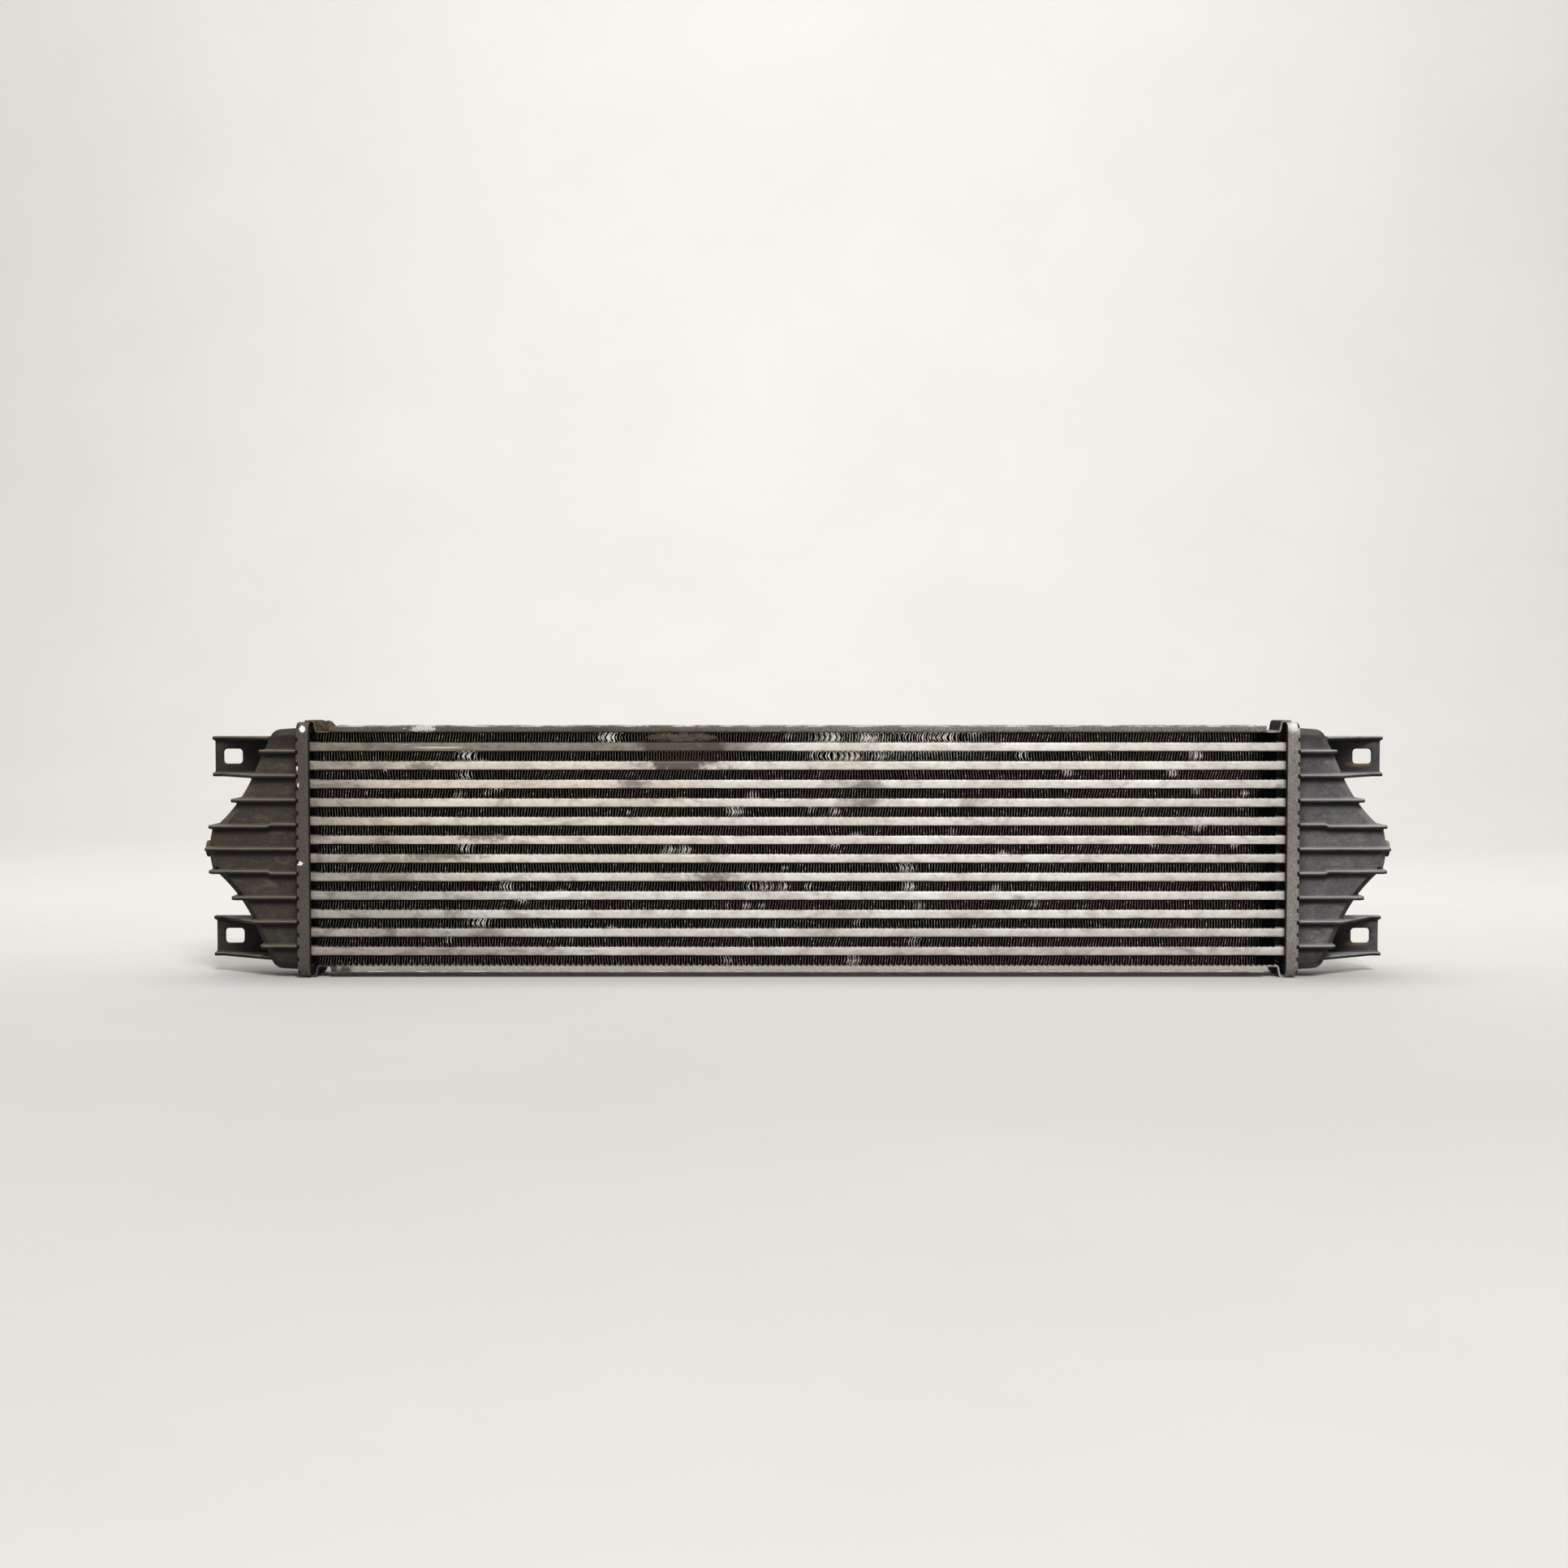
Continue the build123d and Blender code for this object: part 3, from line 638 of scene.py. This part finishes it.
def make_tube(name, material, rng):
    """A flat tube, faintly wavy along its length as drawn stock is, open at both ends."""
    low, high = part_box(name)
    middle_z = (low.z + high.z) / 2
    half_depth, half_height = (high.y - low.y) / 2, (high.z - low.z) / 2
    outer = nose_section(half_depth, half_height, TUBE_NOSE)
    inner = nose_section(half_depth - TUBE_WALL, half_height - TUBE_WALL, TUBE_NOSE - TUBE_WALL)
    seed = Vector((rng.uniform(0, 50), rng.uniform(0, 50), 0))
    vertices = []
    for i in range(TUBE_STATIONS):
        x = low.x + (high.x - low.x) * i / (TUBE_STATIONS - 1)
        loose = min(1.0, (FACE_X - abs(x)) / TUBE_QUIET) if abs(x) < FACE_X else 0.0
        lift = noise.noise(seed + Vector((x * TUBE_WAVE_RATE, 0, 0))) * TUBE_WAVE * loose
        press = noise.noise(seed + Vector((x * TUBE_PRESS_RATE, 9, 0))) * TUBE_PRESS * loose
        press = max(0.0, press)
        for y, z in outer:
            flatness = 1 - press / (3 * MM) if y < 0 else 1
            pushed = press if y < TUBE_FRONT else 0.0
            vertices.append((x, MIDDLE.y + y + pushed, middle_z + z * flatness + lift))
    for x in (high.x, low.x):
        vertices += [(x, MIDDLE.y + y, middle_z + z) for y, z in inner]
    size = len(outer)
    faces = join_rings(TUBE_STATIONS + 2, size)
    last = (TUBE_STATIONS + 1) * size
    faces += [(last + i, last + (i + 1) % size, (i + 1) % size, i) for i in range(size)]
    piece_name = name.replace("tube", "flat_tube")
    add_piece(piece_name, new_mesh(piece_name, vertices, faces), material, name)


def fin_line(start_x, end_x, height, rng):
    """Middle line of a corrugated strip as points (x, z): upright legs between flat, turned crests."""
    half = height / 2 - FIN_SHEET / 2
    pitch = FIN_PITCH / 2
    seed = rng.uniform(0, 90)
    points = []
    for leg in range(int((end_x - start_x) / pitch)):
        side = -1 if leg % 2 else 1
        x = start_x + leg * pitch
        drift = LEAN_MEAN + LEAN_DRIFT * noise.noise(Vector((x * LEAN_RATE, seed, 0)))
        lean = FIN_LEAN * drift * side
        first = x - lean + rng.uniform(-FIN_UNEVEN, FIN_UNEVEN) * MM
        last = x + lean + rng.uniform(-FIN_UNEVEN, FIN_UNEVEN) * MM
        points.append((first + FIN_CREST * TURN_IN, -side * (half - FIN_CREST)))
        points.append(((first + last) / 2, 0))
        points.append((last - FIN_CREST * TURN_IN, side * (half - FIN_CREST)))
        points.append((last + FIN_CREST * TURN_ON, side * half))
        points.append((last + pitch - FIN_CREST * TURN_ON, side * half))
    return np.array(points)


def make_fin_strip(name, row, material, dents, rng):
    """A corrugated strip of real pitch, its waves bent over where something has struck the core."""
    low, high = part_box(name)
    height, depth = high.z - low.z, high.y - low.y
    middle_z = (low.z + high.z) / 2
    reach = FACE_X - FIN_GAP - FIN_WEAVE - FIN_PITCH / 2
    line = fin_line(-reach, reach, height, rng)
    along = np.gradient(line, axis=0)
    along /= np.linalg.norm(along, axis=1)[:, None]
    across = np.stack([-along[:, 1], along[:, 0]], axis=1) * FIN_SHEET / 2
    ring = np.concatenate([line + across, (line - across)[::-1]])
    ring[:, 1] = np.clip(ring[:, 1], -height / 2, height / 2)
    x, z = ring[:, 0], ring[:, 1]
    free = 1 - (np.abs(z) / (height / 2)) ** 2  # the crests are brazed to the tubes and stay
    runs = round(depth / FIN_WEAVE_RUN)
    cuts = sorted([FIN_FRONT] + [depth * i / runs for i in range(runs + 1)])
    vertices, bent = [], []
    for cut in cuts:
        near = max(0.0, 1 - cut / DENT_DEPTH)
        weave = FIN_WEAVE * (abs(cut / depth * runs % 2 - 1) * 2 - 1)
        moved_x = x + weave
        hurt = np.zeros(len(ring))
        for dent_x, dent_z, radius, push in dents:
            gap = np.hypot((x - dent_x) / radius, (z + middle_z - dent_z) / (radius * DENT_FLAT))
            share = np.clip(DENT_EDGE - gap, 0, 1) * near
            waves = np.sin(x * CRUMPLE_RATES[0] + row * 1.7) * np.sin(x * CRUMPLE_RATES[1] + dent_x * 900)
            moved_x += push * share * (0.9 + 0.7 * waves) * free
            hurt = np.maximum(hurt, share)
        vertices.append(np.column_stack([moved_x, np.full(len(ring), low.y + cut), z + middle_z]))
        bent.append(hurt)
    size = len(ring)
    faces = join_rings(len(cuts), size)
    for base in (0, (len(cuts) - 1) * size):
        for i in range(size // 2 - 1):
            quad = (base + i, base + i + 1, base + size - 2 - i, base + size - 1 - i)
            faces.append(quad if base else quad[::-1])
    piece_name = name.replace("strip", "ribbon")
    mesh = new_mesh(piece_name, np.concatenate(vertices), faces, smooth=False)
    mark_points(mesh, "bent", np.concatenate(bent))
    add_piece(piece_name, mesh, material, name)


def bend_line(corners, radius, steps=5):
    """A line through corners (x, z) with each inner corner turned on a radius."""
    line = [Vector(corners[0])]
    for before, at, after in zip(corners, corners[1:], corners[2:]):
        before, at, after = Vector(before), Vector(at), Vector(after)
        back, on = (before - at).normalized(), (after - at).normalized()
        half_turn = back.angle(on) / 2
        reach = radius / np.tan(half_turn)
        middle = at + (back + on).normalized() * (radius / sin(half_turn))
        first, last = at + back * reach - middle, at + on * reach - middle
        for i in range(steps + 1):
            line.append(middle + first.slerp(last, i / steps, first).normalized() * radius)
    line.append(Vector(corners[-1]))
    return line


def make_side_plate(name, side, material):
    """The folded channel over the stack, its ends joggled up and hooked over the headers."""
    low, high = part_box(name)
    half_depth = (high.y - low.y) / 2
    web_z = STACK_HALF + PLATE_SHEET / 2
    hook_z = (high.z - MIDDLE.z if side > 0 else MIDDLE.z - low.z) - PLATE_SHEET / 2
    step_x = FACE_X - PLATE_STEP
    corners = [(0, web_z), (step_x - PLATE_SLANT, web_z), (step_x + PLATE_SLANT, hook_z), (high.x, hook_z)]
    flange_end = FACE_X - PLATE_FLANGE_END
    reach = [flange_end * i / PLATE_CELLS for i in range(PLATE_CELLS)]
    reach += [flange_end - PLATE_FLANGE_FADE, flange_end]
    line = [Vector((x, web_z)) for x in reach]
    line += [p for p in bend_line(corners, PLATE_BEND)[1:] if p.x > flange_end + 0.2 * MM]
    line = [Vector((-p.x, p.y)) for p in line[:0:-1]] + line
    vertices = []
    for i, point in enumerate(line):
        before, after = line[max(i - 1, 0)], line[min(i + 1, len(line) - 1)]
        along = (after - before).normalized()
        up = Vector((-along.y, along.x))
        fade = min(1.0, max(0.0, (flange_end - abs(point.x)) / PLATE_FLANGE_FADE))
        flange = (PLATE_FLANGE - PLATE_SHEET / 2) * fade
        dent = noise.noise(Vector((point.x * PLATE_DENT_RATE, side * 3, 0))) * PLATE_DENT * fade
        turned = PLATE_TURN_IN * (1 - fade)
        foot = min(PLATE_FOLD, flange * 0.5)
        section = [
            (-half_depth, flange + dent * 0.5),
            (-half_depth + turned, foot),
            (-half_depth + PLATE_FOLD, 0),
            (0, 0),
            (half_depth - PLATE_FOLD, 0),
            (half_depth - turned, foot),
            (half_depth, flange + dent * 0.3),
        ]
        for y, rise in section:
            y -= np.sign(y) * PLATE_SHEET / 2
            spot = point + up * min(rise, flange)
            vertices.append((spot.x, MIDDLE.y + y, MIDDLE.z + side * spot.y))
    piece_name = name.replace("side_plate", "folded_plate")
    mesh = new_mesh(piece_name, vertices, join_rings(len(line), len(section), closed=False))
    piece = add_piece(piece_name, mesh, material, name)
    add_modifier(piece, "SOLIDIFY", {"thickness": PLATE_SHEET, "offset": 0.0})
    add_modifier(piece, "BEVEL", bevel_settings(0.25 * MM, 50))


def make_mud(name, start, end, half_height, half_depth, material, slot, seed):
    """A crumbly clod of mud drawn out between two points, thin and ragged at its ends."""
    vertices = []
    for i in range(MUD_STATIONS):
        share = i / (MUD_STATIONS - 1)
        middle = Vector(start).lerp(Vector(end), share)
        swell = (1 - abs(2 * share - 1) ** 3) ** 0.7
        for j in range(MUD_AROUND):
            turn = 2 * pi * j / MUD_AROUND
            out = Vector((0, -half_depth * cos(turn), half_height * sin(turn)))
            place = (middle + out) * MUD_LUMP_RATE + Vector((seed, 0, 0))
            lump = 1 + MUD_LUMPS * noise.fractal(place, 0.8, 2.1, 5)
            spot = middle + out * max(0.0, swell * min(lump, MUD_MOST))
            shift = MUD_JITTER * noise.noise(spot * MUD_JITTER_RATE)
            vertices.append((spot.x + shift, spot.y, spot.z))
    faces = join_rings(MUD_STATIONS, MUD_AROUND)
    count = len(vertices)
    faces += [tuple(range(MUD_AROUND))[::-1], tuple(range(count - MUD_AROUND, count))]
    add_piece(name, new_mesh(name, vertices, faces), material)


def ease_mesh(mesh):
    """Remeshes a moulding so finely that smoothing eases its edges and fills its inner corners."""
    remesh = ("REMESH", {"mode": "VOXEL", "voxel_size": TANK_GRAIN})
    fine = rework(mesh, WELD, remesh, ("SMOOTH", {"factor": 0.5, "iterations": 4}))
    count = sum(len(face.vertices) - 2 for face in fine.polygons)
    light = rework(fine, ("DECIMATE", {"ratio": min(1.0, TANK_FACES / count)}))
    light.shade_smooth()
    return light


def mark_ribs(mesh):
    """Marks each point of a moulding: painted shade at and under a rib's lower edge and under what hangs over
    it, and a painted highlight along a rib's upper edge."""
    points = [vertex.co for vertex in mesh.vertices]
    solid = BVHTree.FromPolygons(points, [tuple(face.vertices) for face in mesh.polygons])
    rib_shade = np.zeros(len(points))
    rib_highlight = np.zeros(len(points))
    up = Vector((0, 0, 1))
    walls = (HEADER_HIGH.z - HEADER_LOW.z) / 2 - END_WALL
    for i, vertex in enumerate(mesh.vertices):
        place, normal = vertex.co, vertex.normal
        to_rear = normal.y > 0.2 or place.y > HEADER_HIGH.y
        if to_rear or abs(place.z - MIDDLE.z) > walls:
            continue
        inside = place - normal * RIB_CORE
        below = solid.ray_cast(inside, -up, RIB_MOST)[3]
        above = solid.ray_cast(inside, up, RIB_MOST)[3]
        if below is not None and above is not None and below + above < RIB_MOST:
            share = below / max(below + above, 1e-6)
            rib_shade[i] = min(1.0, max(0.0, (LEE_TOP - share) / MARK_FADE))
            rib_highlight[i] = min(1.0, max(0.0, (share - CROWN_FOOT) / MARK_FADE))
            continue
        over = solid.ray_cast(place + normal * RAY_CLEAR, up, LEE_DROP)[3]
        if over is not None:
            rib_shade[i] = min(1.0, 1.6 * (1 - over / LEE_DROP))
    mark_points(mesh, "rib_shade", rib_shade)
    mark_points(mesh, "rib_highlight", rib_highlight)


def make_tank(name, moulding, mirrored, material):
    """One end tank from the eased moulding, or from its mirror image."""
    mesh = moulding.copy()
    if mirrored:
        mesh.transform(Matrix.Scale(-1, 4, (1, 0, 0)))
        mesh.flip_normals()
    add_piece(f"end_{name}", mesh, material, name)


# ---- the stage ----
def make_floor():
    """A pale floor that rises behind the cooler in one sweep."""
    outline = [(-STAGE, 0), (SWEEP, 0)]
    for angle in range(6, 91, 6):
        outline.append((SWEEP + SWEEP * sin(radians(angle)), SWEEP - SWEEP * cos(radians(angle))))
    outline.append((2 * SWEEP, STAGE))
    vertices = [(x, y, z) for x in (-STAGE, STAGE) for y, z in outline]
    mesh = new_mesh("floor", vertices, join_rings(2, len(outline), closed=False))
    dress(mesh, painted_floor())
    floor = add_object("floor", mesh)


def light_scene():
    """Soft light from above and in front, and an even pale world."""
    scene = bpy.context.scene
    scene.view_settings.view_transform = "Standard"
    scene.world = bpy.data.worlds.new("room")
    scene.world.use_nodes = True
    tree = scene.world.node_tree
    background = tree.nodes["Background"].inputs
    feed(linear("#F2F1EE"), background["Color"])
    seen = ("Camera", "Glossy", "Transmission")
    rays = [add_node(tree, "LightPath", output=f"Is {kind} Ray") for kind in seen]
    feed(largest(*rays).into("MapRange", 0, 1, ROOM_LIGHT, ROOM_SEEN), background["Strength"])
    for name, place, target, size, watts in LAMPS:
        light = bpy.data.lights.new(name, "AREA")
        light.size, light.energy = size, watts
        lamp = add_object(name, light)
        lamp.location = place
        lamp.rotation_euler = (Vector(target) - Vector(place)).to_track_quat("-Z", "Y").to_euler()


def set_camera():
    """The camera in front of the core, a little over its middle."""
    camera = add_object("camera", bpy.data.cameras.new("camera"))
    camera.data.lens, camera.data.sensor_width = LENS, 36
    camera.data.clip_start, camera.data.clip_end = 0.01, 50
    camera.location = (CAMERA_X, HEADER_LOW.y - CAMERA_BACK, MIDDLE.z + CAMERA_UP)
    camera.rotation_euler = (radians(90 - CAMERA_DOWN), 0, 0)
    bpy.context.scene.camera = camera


# ---- the cooler ----
rng = random.Random(7)
mill = weathered_mill_aluminium()
soot_and_shade = sooted_and_shaded_fin_stock()
sheet = stained_sheet_aluminium()
inner_strip = clean_fin_stock()
rubber = moulded_rubber()
pressed_left = oxidised_pressed_aluminium(
    "dirty_pressed_aluminium",
    body="#504943",
    light="#5A534C",
    dark="#3C3631",
    bright="#625B53",
    chips_and_highlight=on_header(-1, CHIPS),
    edge=0.06,
)
pressed_right = oxidised_pressed_aluminium(
    "oxidised_pressed_aluminium",
    body="#7B7470",
    light="#908A85",
    dark="#5A5450",
    bright="#B4AEAA",
    chips_and_highlight=on_header(1, TOP_HIGHLIGHT),
    edge=0.9,
)
rust_x, rust_y = RIM_X + RUST_OUT * MM, MIDDLE.y + RUST_BACK * MM
rust = [((rust_x, rust_y, MIDDLE.z + z * MM), (6, 20, 1.5)) for z in RUST_HEIGHTS]
nylon_left = moulded_nylon("dusty_moulded_nylon", body="#35302B", dusty="#474036", wear_and_highlight="#7D7365")
nylon_right = moulded_nylon("moulded_nylon", body="#4E4B50", dusty="#706E6D", wear_and_highlight="#A8A6A1", rust=rust)
mud = dried_mud()

for name in TUBES:
    make_tube(name, mill, rng)

dents = []
for x, z, size in STRUCK:
    dents.append((x * MM, MIDDLE.z + z * MM, DENT * size, rng.choice((-PUSH, PUSH)) * MM * size))
for _ in range(SMALL_DENTS):
    spot = (rng.uniform(-0.27, 0.27), MIDDLE.z + rng.uniform(-0.07, 0.075))
    dents.append((*spot, DENT * rng.uniform(0.3, 0.9), rng.uniform(-SMALL_PUSH, SMALL_PUSH) * MM))
for row, name in enumerate(FIN_STRIPS):
    make_fin_strip(name, row, soot_and_shade, dents, rng)

row_z = (CORE_LOW.z + CORE_HIGH.z) / 2
row_ends = [(x * MM, CORE_LOW.y + 2.2 * MM, row_z) for x in TOP_ROW_MUD]
make_mud("mud_in_top_row", *row_ends, 3.3 * MM, 2.3 * MM, mud, "fin", 3)
joggle_ends = [(x * MM, MIDDLE.y - 12.5 * MM, MIDDLE.z + STACK_HALF + 3.8 * MM) for x in JOGGLE_MUD]
make_mud("mud_on_joggle", *joggle_ends, 3.6 * MM, 3.6 * MM, mud, "side_plate", 11)

make_side_plate("side_plate_top", 1, sheet)
make_side_plate("side_plate_bottom", -1, sheet)

for name, metal in (("header_left", pressed_left), ("header_right", pressed_right)):
    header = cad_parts[name]
    dress(header.data, metal)
    add_modifier(header, *WELD)
    add_modifier(header, "BEVEL", bevel_settings(0.35 * MM, 40))
for name in ("gasket_left", "gasket_right"):
    dress(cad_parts[name].data, rubber)
for name in TURBULATORS:
    dress(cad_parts[name].data, inner_strip)

moulding = ease_mesh(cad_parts["tank_right"].data.copy())
mark_ribs(moulding)
make_tank("tank_right", moulding, False, nylon_right)
make_tank("tank_left", moulding, True, nylon_left)

make_floor()
light_scene()
set_camera()
